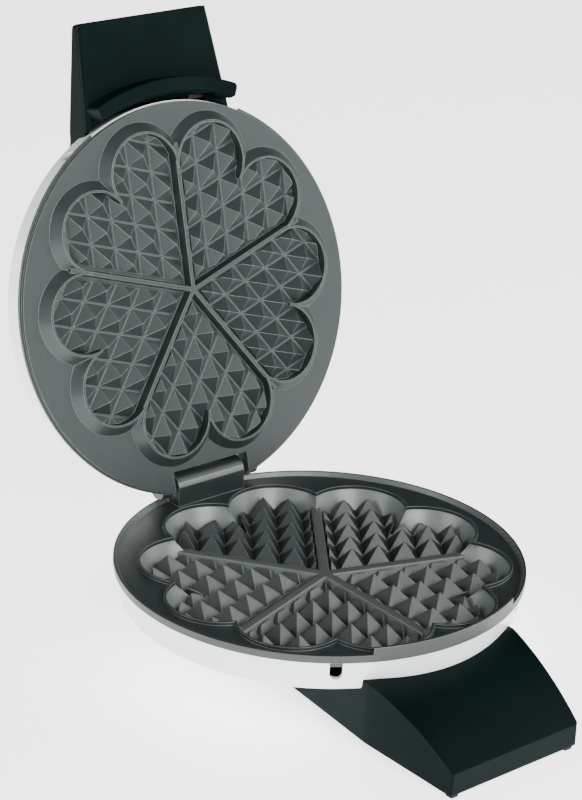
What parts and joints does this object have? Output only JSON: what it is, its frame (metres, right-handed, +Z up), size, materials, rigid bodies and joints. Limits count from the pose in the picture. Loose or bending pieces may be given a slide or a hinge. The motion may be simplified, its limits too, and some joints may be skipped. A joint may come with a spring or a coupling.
{
  "type": "waffle maker",
  "caption": "Free-standing heart waffle maker with a hinged lid, patterned non-stick plates, white drum shells and black handles, standing open.",
  "frame": {"origin": "bottom centre of the whole object's box with the lid open, on the surface it stands on", "axes": "+Z up, +Y towards the hinge at the back, -Y towards the handles, +X to the right seen from the front"},
  "size_m": [0.19, 0.2916, 0.2711],
  "materials": {
    "nonstick_lower": "dark grey non-stick coating on cast aluminium, satin",
    "nonstick_upper": "dark grey non-stick coating on cast aluminium, satin",
    "white_shell": "glossy white",
    "black_plastic": "black moulded plastic, satin with a fine grain",
    "black_matte": "black moulded plastic, matt",
    "dial_plastic": "black moulded plastic, satin",
    "foot_rubber": "matt",
    "heater_steel": "dull steel sheath",
    "reflector_sheet": "bright rolled sheet",
    "screw_steel": "plated steel",
    "ivory_plastic": "heat-resistant moulded plastic",
    "lamp_red": "clear red lens"
  },
  "bodies": {
    "base": {"lower_plate": "nonstick_lower", "lower_shell": "white_shell", "base_housing": "black_plastic", "base_cover": "black_matte", "rear_foot_left": "black_matte", "rear_foot_right": "black_matte", "rear_pad_left": "foot_rubber", "rear_pad_right": "foot_rubber", "front_foot_left": "foot_rubber", "front_foot_right": "foot_rubber", "lower_heater": "heater_steel", "lower_reflector": "reflector_sheet", "terminal_block": "ivory_plastic", "thermal_fuse": "screw_steel", "cord_gland": "black_matte", "hinge_pin": "screw_steel", "cover_screw_1": "screw_steel", "plate_screw_1": "screw_steel", "cover_screw_2": "screw_steel", "plate_screw_2": "screw_steel", "cover_screw_3": "screw_steel", "plate_screw_3": "screw_steel", "cover_screw_4": "screw_steel", "plate_screw_4": "screw_steel"},
    "lid": {"upper_plate": "nonstick_upper", "upper_shell": "white_shell", "upper_handle": "black_plastic", "handle_cover": "black_plastic", "upper_heater": "heater_steel", "upper_reflector": "reflector_sheet", "thermostat": "ivory_plastic", "lamp_lens": "lamp_red", "shell_screw_1": "screw_steel", "shell_screw_2": "screw_steel"},
    "dial": {"thermostat_dial": "dial_plastic", "dial_spindle": "screw_steel"}
  },
  "joints": [
    {"name": "lid_hinge", "type": "hinge", "parent": "base", "child": "lid", "pos_m": [0, 0.07751, 0.0555], "axis": [1, 0, 0], "range_deg": [0, 104]},
    {"name": "dial_turn", "type": "hinge", "parent": "lid", "child": "dial", "pos_m": [0, 0.13316, 0.18735], "axis": [0, 0.9703, -0.2419], "range_deg": [0, 250]}
  ]
}
